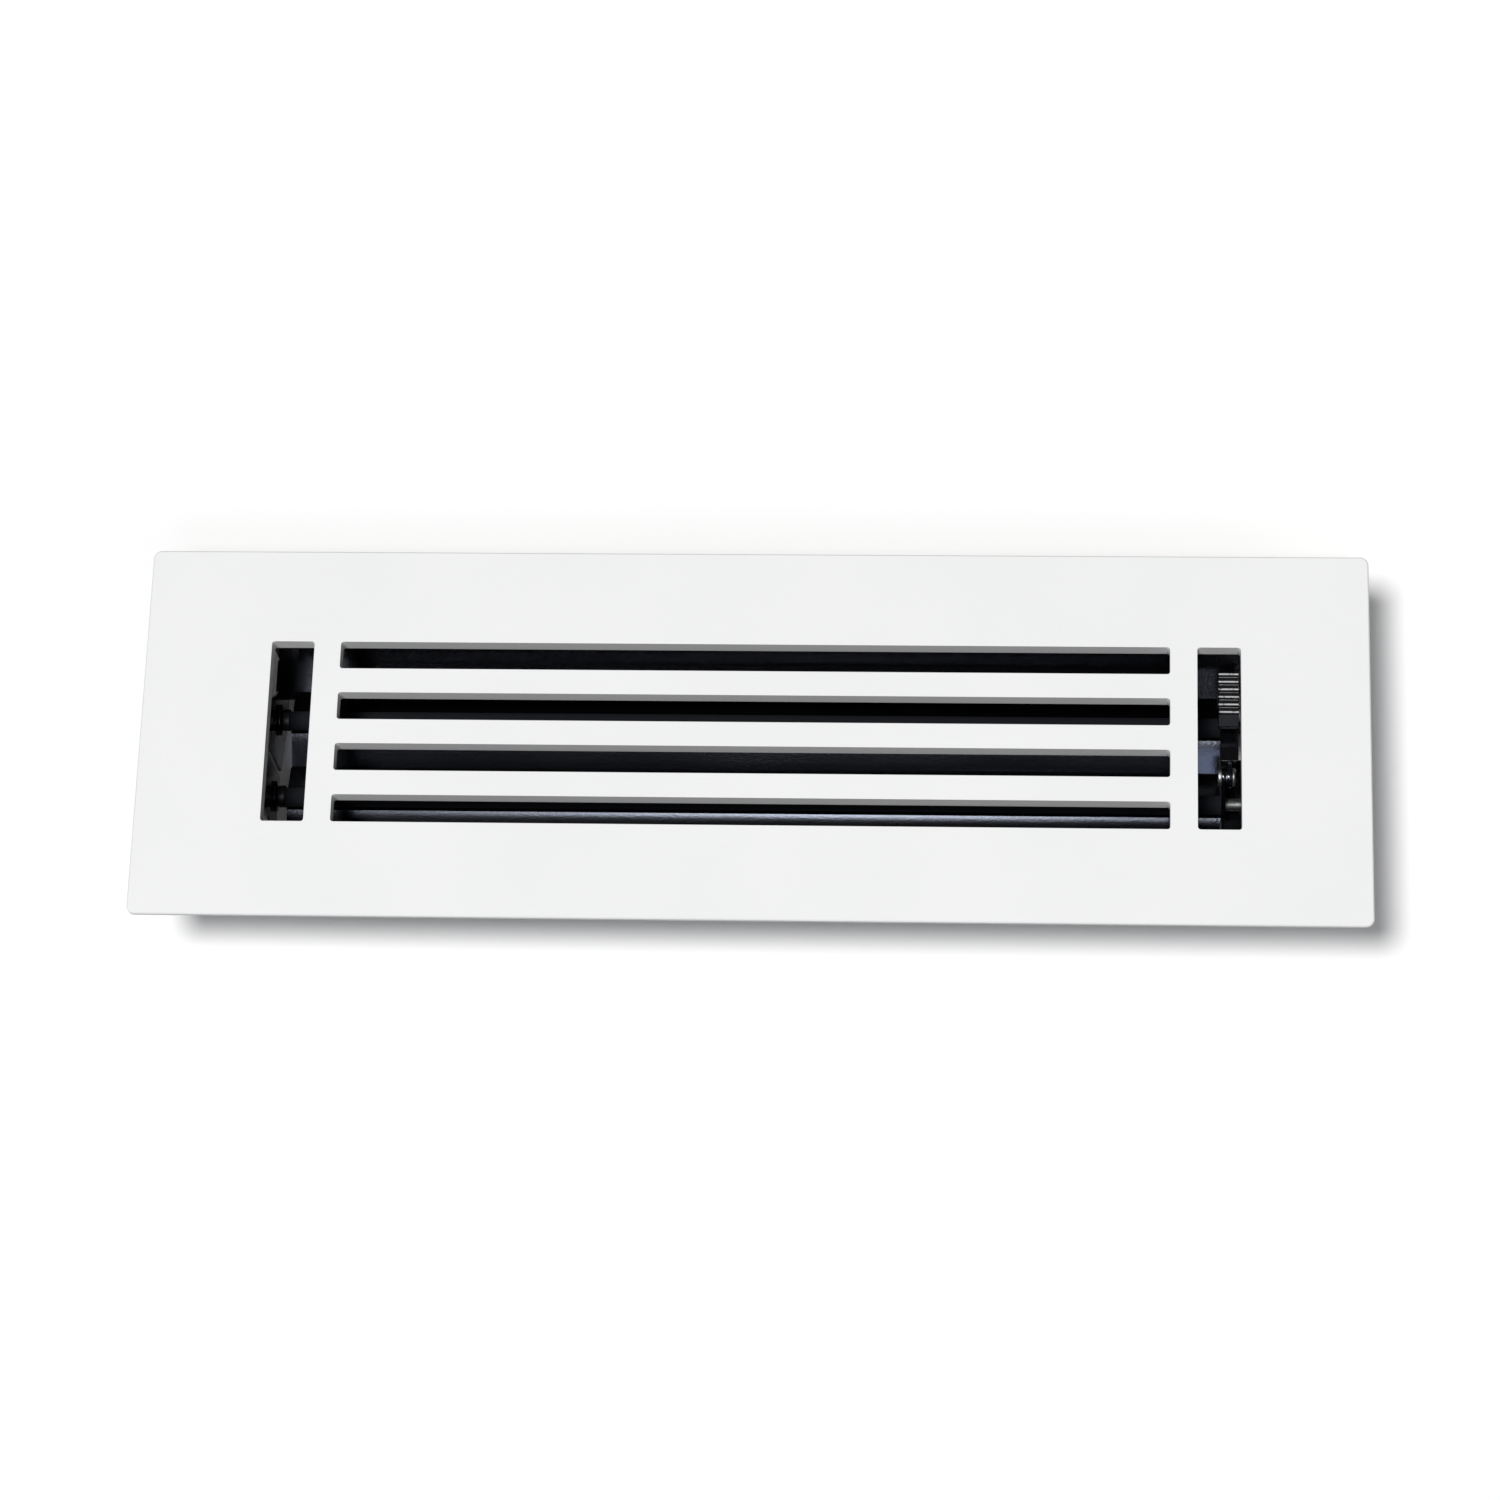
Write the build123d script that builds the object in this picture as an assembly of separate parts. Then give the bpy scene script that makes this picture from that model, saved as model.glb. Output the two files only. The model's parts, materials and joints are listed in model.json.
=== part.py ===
"""Linear bar vent cover: a slotted face plate with a two-blade damper behind it.

Millimetres. +X runs along the length, +Y to the far long edge and +Z out of the face.
The origin is the middle of the seat plane, where the plate's back meets the floor or wall.
The blades are modelled closed, with the thumb grip at the far end of its travel.
"""

import os
from math import asin, cos, radians, sin

from build123d import *

# Face plate
FACE_LENGTH = 292.1
FACE_WIDTH = 92.1
PLATE_THICKNESS = 5.2
PLATE_CORNER_RADIUS = 2.0
FACE_EDGE_CHAMFER = 0.3
EDGE_BAND = 1.2
SIDE_UNDERCUT = 20.0
SLOT_LENGTH = 198.0
SLOT_HEIGHT = 6.8
BAR_HEIGHT = 6.1
SLOT_COUNT = 4
WEB_WIDTH = 6.4
END_SLOT_WIDTH = 10.3
SLOT_CORNER_RADIUS = 0.7

# Damper frame, folded from one sheet
SHEET = 0.8
BEND_RADIUS = 0.8
WINDOW_MARGIN = 0.4
NECK_DEPTH = 29.0
TAB_FAR_DEPTH = 26.0
TAB_NEAR_DEPTH = 19.5
TAB_SLANT_FAR = 12.0
TAB_SLANT_NEAR = -6.0
TAB_CORNER_RADIUS = 3.0
FAR_NOTCH_TOP = 10.3
FAR_NOTCH_FOOT = 15.3
NEAR_NOTCH_EDGE = 17.3
NOTCH_DEPTH = 10.8
NOTCH_CORNER_RADIUS = 2.5
TAB_SLIT_Y = -2.0
TAB_SLIT_WIDTH = 2.0
TAB_SLIT_TOP = 2.5
LIP_LAP = 1.5
LIP_CLEARANCE = 0.5
AIR_STOP_NEAR = -20.5
AIR_STOP_FAR = 3.0
AIR_STOP_GAP = 0.3
SIDE_FLANGE = 3.4
END_FLANGE = 8.4
FLANGE_CORNER_RADIUS = 2.0
RECESS_CLEARANCE = 0.3

# Screws between the frame and the plate
SCREW_RADIUS = 1.4
SCREW_LENGTH = 3.8
SCREW_HEAD_RADIUS = 2.8
SCREW_HEAD_HEIGHT = 1.7
SCREW_HEAD_CHAMFER = 0.8
SCREW_CLEARANCE = 0.2
PILOT_CLEARANCE = 0.03
PILOT_EXTRA_DEPTH = 0.2
DRIVE_WIDTH = 0.7
DRIVE_LENGTH = 2.8
DRIVE_DEPTH = 0.9

# Blades
PIVOT_PITCH = 19.6
PIVOT_DROP = 14.6
ROD_RADIUS = 1.5
BLADE_SHEET = 0.6
BLADE_LEFT_GAP = 2.7
BLADE_RIGHT_GAP = 4.6
BLADE_EDGE_GAP = 1.4
BLADE_LAP = 1.4
ARCH_RADIUS = 70.0
NEAR_SLOPE = 18.0
FAR_SLOPE = 14.0
ROD_FIT = 0.05
PIVOT_FIT = 0.07

# Cranks, tie bar and thumb grip at the right-hand end
CRANK_RADIUS = 8.0
CRANK_LEAN = 36.0
CRANK_THICKNESS = 1.0
CRANK_HUB_RADIUS = 3.6
CRANK_EYE_RADIUS = 2.5
PIN_RADIUS = 1.3
PIN_HEAD_RADIUS = 2.2
PIN_HEAD_HEIGHT = 0.8
PIN_HEAD_CHAMFER = 0.4
PIN_FIT = 0.02
TIE_BAR_FIT = 0.1
TIE_BAR_THICKNESS = 1.0
TIE_BAR_HEIGHT = 5.2
BAR_COVER_LENGTH = 19.5
BAR_COVER_RISE = 2.9
BAR_COVER_LEFT = 1.8
BAR_COVER_RIGHT = 1.6
SIDE_PLAY = 0.3
STEM_WIDTH = 6.0
STEM_SEAT = 2.4
GRIP_WIDTH = 4.8
GRIP_OVERHANG = 1.35
GRIP_LENGTH = 12.9
GRIP_HEIGHT = 3.3
GRIP_NEAR_END = 3.8
GRIP_DROP = 1.0
GRIP_RAMP_LENGTH = 2.4
GRIP_RAMP_DROP = 1.6
GRIP_SOCKET_FIT = 0.05
RIB_COUNT = 6
RIB_PITCH = 1.9
RIB_WIDTH = 1.0
RIB_HEIGHT = 0.7
RIB_FLANK = 65.0

# Small pieces on the rods
RETAINER_RADIUS = 3.6
RETAINER_HEIGHT = 1.9
RETAINER_WALL = 0.6
RETAINER_PLAY = 0.3
WASHER_RADIUS = 3.8
WASHER_SHEET = 0.4
WASHER_DISH = 0.5
WASHER_PLAY = 0.2
SPACER_WALL = 1.1

# Places worked out from the sizes above
PATTERN_LENGTH = SLOT_LENGTH + 2 * (WEB_WIDTH + END_SLOT_WIDTH)
PATTERN_WIDTH = SLOT_COUNT * SLOT_HEIGHT + (SLOT_COUNT - 1) * BAR_HEIGHT
SLOT_PITCH = SLOT_HEIGHT + BAR_HEIGHT
END_SLOT_X = (PATTERN_LENGTH - END_SLOT_WIDTH) / 2
NECK_X = PATTERN_LENGTH / 2 + WINDOW_MARGIN
NECK_Y = PATTERN_WIDTH / 2 + WINDOW_MARGIN
TAB_Y = NECK_Y + SHEET
BEND_OUTER = BEND_RADIUS + SHEET
FLANGE_X = NECK_X + BEND_OUTER + END_FLANGE
FLANGE_Y = NECK_Y + BEND_OUTER + SIDE_FLANGE
SCREW_X = FLANGE_X - END_FLANGE / 2
BLADE_LEFT = BLADE_LEFT_GAP - NECK_X
BLADE_RIGHT = NECK_X - BLADE_RIGHT_GAP
NEAR_REACH = NECK_Y - PIVOT_PITCH / 2 - BLADE_EDGE_GAP
FAR_REACH = PIVOT_PITCH - NEAR_REACH + BLADE_LAP
BEAD_RADIUS = ROD_RADIUS + ROD_FIT + BLADE_SHEET
SHEET_DROP = BEAD_RADIUS - BLADE_SHEET / 2
CRANK_X = BLADE_RIGHT + CRANK_THICKNESS
TIE_BAR_X = CRANK_X + SIDE_PLAY
PIN_X = TIE_BAR_X + TIE_BAR_THICKNESS + SIDE_PLAY
PIN_SHIFT = CRANK_RADIUS * sin(radians(CRANK_LEAN))
PIN_RISE = CRANK_RADIUS * cos(radians(CRANK_LEAN)) - PIVOT_DROP
GRIP_X = TIE_BAR_X + TIE_BAR_THICKNESS + GRIP_OVERHANG - GRIP_WIDTH / 2
GRIP_TOP = PLATE_THICKNESS - GRIP_DROP
RETAINER_X = NECK_X + SHEET + RETAINER_PLAY
ROD_END_X = RETAINER_X + RETAINER_HEIGHT - RETAINER_WALL
WASHER_X = NECK_X - WASHER_PLAY
SPACER_X = WASHER_X - WASHER_SHEET - WASHER_DISH


def pivot_y(side):
    """Place of a blade's pivot line across the width: side is +1 far, -1 near."""
    return side * PIVOT_PITCH / 2


def prism(sketch, x_from, x_to):
    """A section drawn in Y and Z, carried along the length."""
    return Pos(x_from, 0, 0) * extrude(Plane.YZ * sketch, x_to - x_from)


def rod_along_x(radius, x_from, x_to, y, z):
    """A round bar along the length."""
    return prism(Pos(y, z) * Circle(radius), x_from, x_to)


def slot_sketch():
    """The four long slots and the two cross slots at the ends."""
    first = -(SLOT_COUNT - 1) * SLOT_PITCH / 2
    long_slot = RectangleRounded(SLOT_LENGTH, SLOT_HEIGHT, SLOT_CORNER_RADIUS)
    end_slot = RectangleRounded(END_SLOT_WIDTH, PATTERN_WIDTH, SLOT_CORNER_RADIUS)
    slots = [Pos(0, first + row * SLOT_PITCH) * long_slot for row in range(SLOT_COUNT)]
    slots += [Pos(side * END_SLOT_X, 0) * end_slot for side in (-1, 1)]
    return Sketch() + slots


def screw_places():
    """Where the two screws go through the end flanges."""
    return [Pos(side * SCREW_X, 0, 0) for side in (-1, 1)]


def face_plate():
    """The slotted plate: sides that slant in under the face, and a recess for the frame's flange."""
    outline = RectangleRounded(FACE_LENGTH, FACE_WIDTH, PLATE_CORNER_RADIUS)
    slant = PLATE_THICKNESS - EDGE_BAND
    plate = extrude(outline, EDGE_BAND) + extrude(outline, -slant, taper=SIDE_UNDERCUT)
    face = plate.faces().sort_by(Axis.Z)[-1]
    plate = Pos(0, 0, slant) * chamfer(face.edges(), FACE_EDGE_CHAMFER)
    plate -= extrude(slot_sketch(), PLATE_THICKNESS)
    recess = RectangleRounded(
        2 * (FLANGE_X + RECESS_CLEARANCE),
        2 * (FLANGE_Y + RECESS_CLEARANCE),
        FLANGE_CORNER_RADIUS + RECESS_CLEARANCE,
    )
    plate -= extrude(recess, SHEET)
    pilot = extrude(Circle(SCREW_RADIUS + PILOT_CLEARANCE), SCREW_LENGTH + PILOT_EXTRA_DEPTH)
    return plate - [place * pilot for place in screw_places()]


def folded_wall(neck, depth):
    """Section of a wall folded down from the flange, with the flange to its right."""
    bend = neck + BEND_OUTER
    outline = [
        Line((bend, SHEET), (bend, 0)),
        RadiusArc((bend, 0), (bend - BEND_RADIUS, -BEND_RADIUS), -BEND_RADIUS),
        Polyline(
            (neck + SHEET, -BEND_RADIUS),
            (neck + SHEET, -depth),
            (neck, -depth),
            (neck, -BEND_RADIUS),
        ),
        RadiusArc((neck, -BEND_RADIUS), (bend, SHEET), BEND_OUTER),
    ]
    return make_face(outline)


def tab_sketch():
    """Outline of an end tab below its bend: notched upper corners and a slanting foot."""
    outline = make_face(
        Polyline(
            (FAR_NOTCH_TOP, -BEND_RADIUS),
            (FAR_NOTCH_FOOT, -NOTCH_DEPTH),
            (TAB_Y, -NOTCH_DEPTH),
            (TAB_Y, -TAB_FAR_DEPTH),
            (TAB_SLANT_FAR, -TAB_FAR_DEPTH),
            (TAB_SLANT_NEAR, -TAB_NEAR_DEPTH),
            (-TAB_Y, -TAB_NEAR_DEPTH),
            (-TAB_Y, -NOTCH_DEPTH),
            (-NEAR_NOTCH_EDGE, -NOTCH_DEPTH),
            (-NEAR_NOTCH_EDGE, -BEND_RADIUS),
            close=True,
        )
    )
    feet = outline.vertices().filter_by_position(Axis.Y, -NOTCH_DEPTH, -NOTCH_DEPTH)
    inner = feet.sort_by(Axis.X)[1:-1]
    outline = fillet(inner, NOTCH_CORNER_RADIUS)
    columns = outline.vertices().group_by(Axis.X)
    low = [columns[0].sort_by(Axis.Y)[0], columns[-1].sort_by(Axis.Y)[0]]
    return fillet(low, TAB_CORNER_RADIUS)


def frame_tab():
    """The right-hand end tab: a bend at its top, a slit between the blades and two pivot holes."""
    bend = Plane.XZ * folded_wall(NECK_X, BEND_OUTER)
    tab = Pos(0, FAR_NOTCH_TOP, 0) * extrude(bend, FAR_NOTCH_TOP + NEAR_NOTCH_EDGE)
    tab += prism(tab_sketch(), NECK_X, NECK_X + SHEET)
    slit_height = TAB_FAR_DEPTH - TAB_SLIT_TOP
    slit_middle = -TAB_SLIT_TOP - slit_height / 2
    cuts = [Pos(TAB_SLIT_Y, slit_middle) * Rectangle(TAB_SLIT_WIDTH, slit_height)]
    cuts += [Pos(pivot_y(side), -PIVOT_DROP) * Circle(ROD_RADIUS + PIVOT_FIT) for side in (-1, 1)]
    return tab - [prism(cut, NECK_X, NECK_X + BEND_OUTER) for cut in cuts]


def stop_lip():
    """The ledge on the far wall that the far blade closes down to."""
    edge = pivot_y(1) + FAR_REACH
    wing_edge = PIVOT_DROP + SHEET_DROP + arch_drop(FAR_SLOPE, FAR_REACH) + BLADE_SHEET / 2
    width = NECK_Y + SHEET - edge + LIP_LAP
    place = Pos(edge - LIP_LAP + width / 2, -wing_edge - LIP_CLEARANCE - SHEET / 2)
    return prism(place * Rectangle(width, SHEET), -NECK_X, NECK_X)


def air_stop():
    """The ledge on the right-hand tab that closes the gap beside the blades' cranks."""
    width = AIR_STOP_FAR - AIR_STOP_NEAR
    place = Pos(AIR_STOP_NEAR + width / 2, SHEET / 2 - TAB_NEAR_DEPTH)
    return prism(place * Rectangle(width, SHEET), BLADE_RIGHT + AIR_STOP_GAP, NECK_X + SHEET)


def damper_frame():
    """Flange, side walls, end tabs that lap the walls' ends, stop lip and air stop."""
    flange = RectangleRounded(2 * FLANGE_X, 2 * FLANGE_Y, FLANGE_CORNER_RADIUS)
    flange -= Rectangle(2 * (NECK_X + BEND_OUTER), 2 * (NECK_Y + BEND_OUTER))
    frame = extrude(flange, SHEET)
    wall = prism(folded_wall(NECK_Y, NECK_DEPTH), -NECK_X, NECK_X)
    tab = frame_tab()
    frame += [wall, mirror(wall, Plane.XZ), tab, mirror(tab, Plane.YZ), stop_lip(), air_stop()]
    hole = extrude(Circle(SCREW_RADIUS + SCREW_CLEARANCE), SHEET)
    return frame - [place * hole for place in screw_places()]


def frame_screw():
    """A pan-head screw that comes up through the flange into the plate."""
    shank = extrude(Circle(SCREW_RADIUS), SCREW_LENGTH)
    head = extrude(Circle(SCREW_HEAD_RADIUS), -SCREW_HEAD_HEIGHT)
    head = chamfer(head.edges().group_by(Axis.Z)[0], SCREW_HEAD_CHAMFER)
    drive = Rectangle(DRIVE_LENGTH, DRIVE_WIDTH) + Rectangle(DRIVE_WIDTH, DRIVE_LENGTH)
    return shank + head - Pos(0, 0, -SCREW_HEAD_HEIGHT) * extrude(drive, DRIVE_DEPTH)


def arch_end(slope, reach):
    """Slope of a wing's edge, in radians, from its first slope and its reach across."""
    return asin(sin(radians(slope)) + reach / ARCH_RADIUS)


def arch_drop(slope, reach):
    """How far a wing's edge is below its root."""
    return ARCH_RADIUS * (cos(radians(slope)) - cos(arch_end(slope, reach)))


def wing(side, slope, reach):
    """One half of a blade's section: an arched strip that leaves the bead's foot and droops outwards."""
    start = radians(slope)
    arc = TangentArc(
        (0, -SHEET_DROP),
        (side * reach, -SHEET_DROP - arch_drop(slope, reach)),
        tangent=(side * cos(start), -sin(start)),
    )
    return make_face(arc.offset_2d(BLADE_SHEET / 2))


def blade(side):
    """A blade with a rolled bead on top of its pivot line, closed on its neighbour."""
    section = Circle(BEAD_RADIUS) + wing(1, FAR_SLOPE, FAR_REACH) + wing(-1, NEAR_SLOPE, NEAR_REACH)
    section -= Circle(ROD_RADIUS + ROD_FIT)
    return prism(Pos(pivot_y(side), -PIVOT_DROP) * section, BLADE_LEFT, BLADE_RIGHT)


def pivot_rod(side):
    """The wire in a blade's bead, which turns in the end tabs."""
    return rod_along_x(ROD_RADIUS, -ROD_END_X, ROD_END_X, pivot_y(side), -PIVOT_DROP)


def crank(side):
    """A short arm on the blade's right-hand end, from its rod to its crank pin."""
    hub = Circle(CRANK_HUB_RADIUS)
    eye = Pos(PIN_SHIFT, PIN_RISE + PIVOT_DROP) * Circle(CRANK_EYE_RADIUS)
    section = make_hull(hub.edges() + eye.edges())
    section -= Circle(ROD_RADIUS + PIN_FIT)
    section -= Pos(PIN_SHIFT, PIN_RISE + PIVOT_DROP) * Circle(PIN_RADIUS + PIN_FIT)
    return prism(Pos(pivot_y(side), -PIVOT_DROP) * section, BLADE_RIGHT, CRANK_X)


def crank_pin(side):
    """A rivet fixed in the crank, on which the tie bar turns."""
    y = pivot_y(side) + PIN_SHIFT
    inner_head = rod_along_x(PIN_HEAD_RADIUS, BLADE_RIGHT - PIN_HEAD_HEIGHT, BLADE_RIGHT, y, PIN_RISE)
    shank = rod_along_x(PIN_RADIUS, BLADE_RIGHT, PIN_X, y, PIN_RISE)
    outer_head = rod_along_x(PIN_HEAD_RADIUS, PIN_X, PIN_X + PIN_HEAD_HEIGHT, y, PIN_RISE)
    rivet = inner_head + shank + outer_head
    rim = rivet.edges().filter_by(GeomType.CIRCLE).group_by(Axis.X)[-1]
    return chamfer(rim, PIN_HEAD_CHAMFER)


def grip_middle():
    """Place of the thumb grip's middle across the width."""
    return GRIP_NEAR_END + GRIP_LENGTH / 2


def tie_bar():
    """The bar that joins the cranks, with a cover over them and a stem up to the thumb grip."""
    bar = Pos(PIN_SHIFT, PIN_RISE) * SlotCenterToCenter(PIVOT_PITCH, TIE_BAR_HEIGHT)
    far_end = PIN_SHIFT + (PIVOT_PITCH + TIE_BAR_HEIGHT) / 2
    cover_middle = far_end - BAR_COVER_LENGTH / 2
    web_length = BAR_COVER_LENGTH - TIE_BAR_HEIGHT / 2
    web = Rectangle(web_length, BAR_COVER_RISE)
    bar += Pos(far_end - TIE_BAR_HEIGHT / 2 - web_length / 2, PIN_RISE + BAR_COVER_RISE / 2) * web
    stem_top = GRIP_TOP - GRIP_HEIGHT + STEM_SEAT
    stem_height = stem_top - PIN_RISE
    bar += Pos(grip_middle(), PIN_RISE + stem_height / 2) * Rectangle(STEM_WIDTH, stem_height)
    for side in (-1, 1):
        bar -= Pos(pivot_y(side) + PIN_SHIFT, PIN_RISE) * Circle(PIN_RADIUS + TIE_BAR_FIT)
    cover = Rectangle(BAR_COVER_LENGTH, TIE_BAR_THICKNESS)
    cover = Pos(cover_middle, PIN_RISE + BAR_COVER_RISE + TIE_BAR_THICKNESS / 2) * cover
    right = TIE_BAR_X + TIE_BAR_THICKNESS
    upright = prism(bar, TIE_BAR_X, right)
    return upright + prism(cover, TIE_BAR_X - BAR_COVER_LEFT, right + BAR_COVER_RIGHT)


def thumb_grip():
    """The ridged pad on the tie bar's stem, with a smooth ramp at its near end."""
    near = GRIP_NEAR_END
    far = near + GRIP_LENGTH
    floor = GRIP_TOP - GRIP_HEIGHT
    side_view = make_face(
        Polyline(
            (near, floor),
            (far, floor),
            (far, GRIP_TOP),
            (near + GRIP_RAMP_LENGTH, GRIP_TOP),
            (near, GRIP_TOP - GRIP_RAMP_DROP),
            close=True,
        )
    )
    rib = Pos(0, RIB_HEIGHT / 2) * Trapezoid(RIB_WIDTH, RIB_HEIGHT, RIB_FLANK)
    last_rib = far - RIB_WIDTH / 2
    side_view += [
        Pos(last_rib - place * RIB_PITCH, GRIP_TOP) * rib for place in range(RIB_COUNT)
    ]
    grip = prism(side_view, GRIP_X - GRIP_WIDTH / 2, GRIP_X + GRIP_WIDTH / 2)
    socket = Box(
        TIE_BAR_THICKNESS + 2 * GRIP_SOCKET_FIT,
        STEM_WIDTH + 2 * GRIP_SOCKET_FIT,
        STEM_SEAT + GRIP_SOCKET_FIT,
        align=(Align.CENTER, Align.CENTER, Align.MIN),
    )
    return grip - Pos(TIE_BAR_X + TIE_BAR_THICKNESS / 2, grip_middle(), floor) * socket


def spacer(side):
    """A sleeve on the rod between the blade and the left-hand tab."""
    section = Circle(ROD_RADIUS + ROD_FIT + SPACER_WALL) - Circle(ROD_RADIUS + ROD_FIT)
    return prism(Pos(pivot_y(side), -PIVOT_DROP) * section, -SPACER_X, BLADE_LEFT)


def turned(outline, x, side, facing):
    """A profile of radius over length, turned about a blade's pivot line."""
    profile = make_face(Polyline(*outline, close=True))
    piece = revolve(Plane.XY * profile, Axis.X)
    if facing < 0:
        piece = mirror(piece, Plane.YZ)
    return Pos(x, pivot_y(side), -PIVOT_DROP) * piece


def friction_washer(side):
    """A dished washer that drags on the left-hand tab and holds the blade where it is set."""
    bore = ROD_RADIUS + ROD_FIT
    outline = [
        (0, bore),
        (WASHER_SHEET, bore),
        (WASHER_SHEET + WASHER_DISH, WASHER_RADIUS),
        (WASHER_DISH, WASHER_RADIUS),
    ]
    return turned(outline, -SPACER_X, side, -1)


def retainers(side):
    """The two push-on caps that close the rod's ends, outside the tabs."""
    bore = ROD_RADIUS + PIN_FIT
    crown = RETAINER_HEIGHT - RETAINER_WALL
    outline = [
        (0, bore),
        (0, RETAINER_RADIUS),
        (RETAINER_WALL, RETAINER_RADIUS),
        (RETAINER_HEIGHT, bore),
        (RETAINER_HEIGHT, 0),
        (crown, 0),
        (crown, bore),
    ]
    return [turned(outline, facing * RETAINER_X, side, facing) for facing in (-1, 1)]


def write(name, shape):
    """Write one piece, or one group of like pieces, to its own file."""
    group = Compound(children=shape) if isinstance(shape, list) else shape
    export_step(group, os.path.join("parts", name + ".step"))


def main():
    """Build every piece and write it out."""
    os.makedirs("parts", exist_ok=True)
    write("face_plate", face_plate())
    write("damper_frame", damper_frame())
    write("frame_screws", [place * frame_screw() for place in screw_places()])
    for side, place in ((1, "far"), (-1, "near")):
        write("blade_" + place, blade(side))
        write("pivot_rod_" + place, pivot_rod(side))
        write("crank_" + place, crank(side))
        write("crank_pin_" + place, crank_pin(side))
        write("spacer_" + place, spacer(side))
        write("friction_washer_" + place, friction_washer(side))
        write("retainers_" + place, retainers(side))
    write("tie_bar", tie_bar())
    write("thumb_grip", thumb_grip())


if __name__ == "__main__":
    main()
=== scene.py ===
"""Looks of the linear bar vent cover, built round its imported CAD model.

The frame is the CAD's own: +X along the length, +Y to the far long edge, +Z out of the face.
The scene is in metres, and the sizes of pieces and finishes are in millimetres.
The plate, frame and small pieces are the CAD's own solids with softened edges and a finish.
The two damper blades are new surfaces that stand for their CAD solids.
"""

import json
import logging
import math
from dataclasses import dataclass
from enum import Enum
from itertools import chain
from typing import Any

import bpy
import numpy as np
from mathutils import Matrix, Quaternion, Vector


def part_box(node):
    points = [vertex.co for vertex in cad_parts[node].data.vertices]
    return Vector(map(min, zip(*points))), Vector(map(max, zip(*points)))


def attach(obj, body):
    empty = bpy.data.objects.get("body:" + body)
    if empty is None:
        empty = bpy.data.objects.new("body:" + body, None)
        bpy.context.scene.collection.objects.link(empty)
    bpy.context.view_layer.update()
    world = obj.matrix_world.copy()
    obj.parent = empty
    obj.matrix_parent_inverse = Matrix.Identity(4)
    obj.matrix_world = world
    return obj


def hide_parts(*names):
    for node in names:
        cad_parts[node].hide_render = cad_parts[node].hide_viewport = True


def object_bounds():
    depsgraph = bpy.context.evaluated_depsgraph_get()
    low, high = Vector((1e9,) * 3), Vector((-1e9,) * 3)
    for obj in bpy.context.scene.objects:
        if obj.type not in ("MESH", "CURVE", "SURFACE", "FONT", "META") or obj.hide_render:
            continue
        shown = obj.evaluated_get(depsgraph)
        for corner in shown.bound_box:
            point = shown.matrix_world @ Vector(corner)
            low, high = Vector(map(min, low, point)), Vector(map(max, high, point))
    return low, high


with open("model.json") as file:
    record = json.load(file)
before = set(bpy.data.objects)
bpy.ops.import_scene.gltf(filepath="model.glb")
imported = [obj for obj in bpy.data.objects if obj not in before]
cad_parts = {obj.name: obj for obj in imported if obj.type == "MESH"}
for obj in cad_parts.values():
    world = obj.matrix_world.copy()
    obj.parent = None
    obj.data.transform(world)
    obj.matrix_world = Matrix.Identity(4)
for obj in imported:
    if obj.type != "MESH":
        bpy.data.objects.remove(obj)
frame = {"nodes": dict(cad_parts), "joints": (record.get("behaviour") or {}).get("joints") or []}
CAD_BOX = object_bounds()

LOG = logging.getLogger("vent_cover")
MM = 0.001

# The far blade's pivot line, which the near one mirrors, and the beads rolled round both.
PIVOT = next(joint["pos_m"] for joint in frame["joints"] if joint["child"] == "far_blade")
PIVOT_Y = PIVOT[1] / MM
PIVOT_Z = PIVOT[2] / MM
BEAD_RADIUS = 2.15

Colour = tuple[float, float, float]
Triple = tuple[float, float, float]
Span = tuple[float, float]

NOISE_SPAN: Span = (0.3, 0.7)
EVEN: Triple = (1.0, 1.0, 1.0)


class Slot(Enum):
    """The record's material slots."""

    WHITE_PAINT = "white_paint"
    BLACK_COAT = "black_coat"
    ZINC_STEEL = "zinc_steel"
    BLACK_NYLON = "black_nylon"
    BLACK_GRIP = "black_grip"


class Side(Enum):
    """The two damper blades, by the long edge that each is nearer to."""

    FAR = "far"
    NEAR = "near"


class Axis(Enum):
    """The axes that a finish may change along."""

    Y = "Y"
    Z = "Z"


class Detail(Enum):
    """How many finer octaves a noise has."""

    PLAIN = 1.0
    FINE = 2.0
    RICH = 3.0


class Signal:
    """One output of a material's nodes, with arithmetic that adds Math nodes."""

    def __init__(self, graph: "Graph", socket: bpy.types.NodeSocket) -> None:
        """Keeps the graph that the socket belongs to."""
        self.graph = graph
        self.socket = socket

    def _math(self, operation: str, first: "Value", second: "Value" = 0.0) -> "Signal":
        """Adds one Math node and returns its value."""
        node = self.graph.node("ShaderNodeMath", {"operation": operation}, {0: first, 1: second})
        return Signal(self.graph, node.outputs[0])

    def __add__(self, other: "Value") -> "Signal":
        """self + other"""
        return self._math("ADD", self, other)

    __radd__ = __add__

    def __sub__(self, other: "Value") -> "Signal":
        """self - other"""
        return self._math("SUBTRACT", self, other)

    def __rsub__(self, other: "Value") -> "Signal":
        """other - self"""
        return self._math("SUBTRACT", other, self)

    def __mul__(self, other: "Value") -> "Signal":
        """self * other"""
        return self._math("MULTIPLY", self, other)

    __rmul__ = __mul__

    def __abs__(self) -> "Signal":
        """|self|"""
        return self._math("ABSOLUTE", self)

    def mixed(self, other: "Signal", share: float) -> "Signal":
        """This value with a share of another in it."""
        return self * (1.0 - share) + other * share

    def swing(self, width: float) -> "Signal":
        """A value from 0 to 1, turned into one from -width / 2 to width / 2."""
        return (self - 0.5) * width

    def ease(self, span: Span) -> "Signal":
        """A smooth rise from 0 at the span's start to 1 at its end."""
        node = self.graph.node(
            "ShaderNodeMapRange",
            {"interpolation_type": "SMOOTHSTEP"},
            {"Value": self, "From Min": span[0], "From Max": span[1]},
        )
        return Signal(self.graph, node.outputs["Result"])


Value = float | Signal


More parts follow.
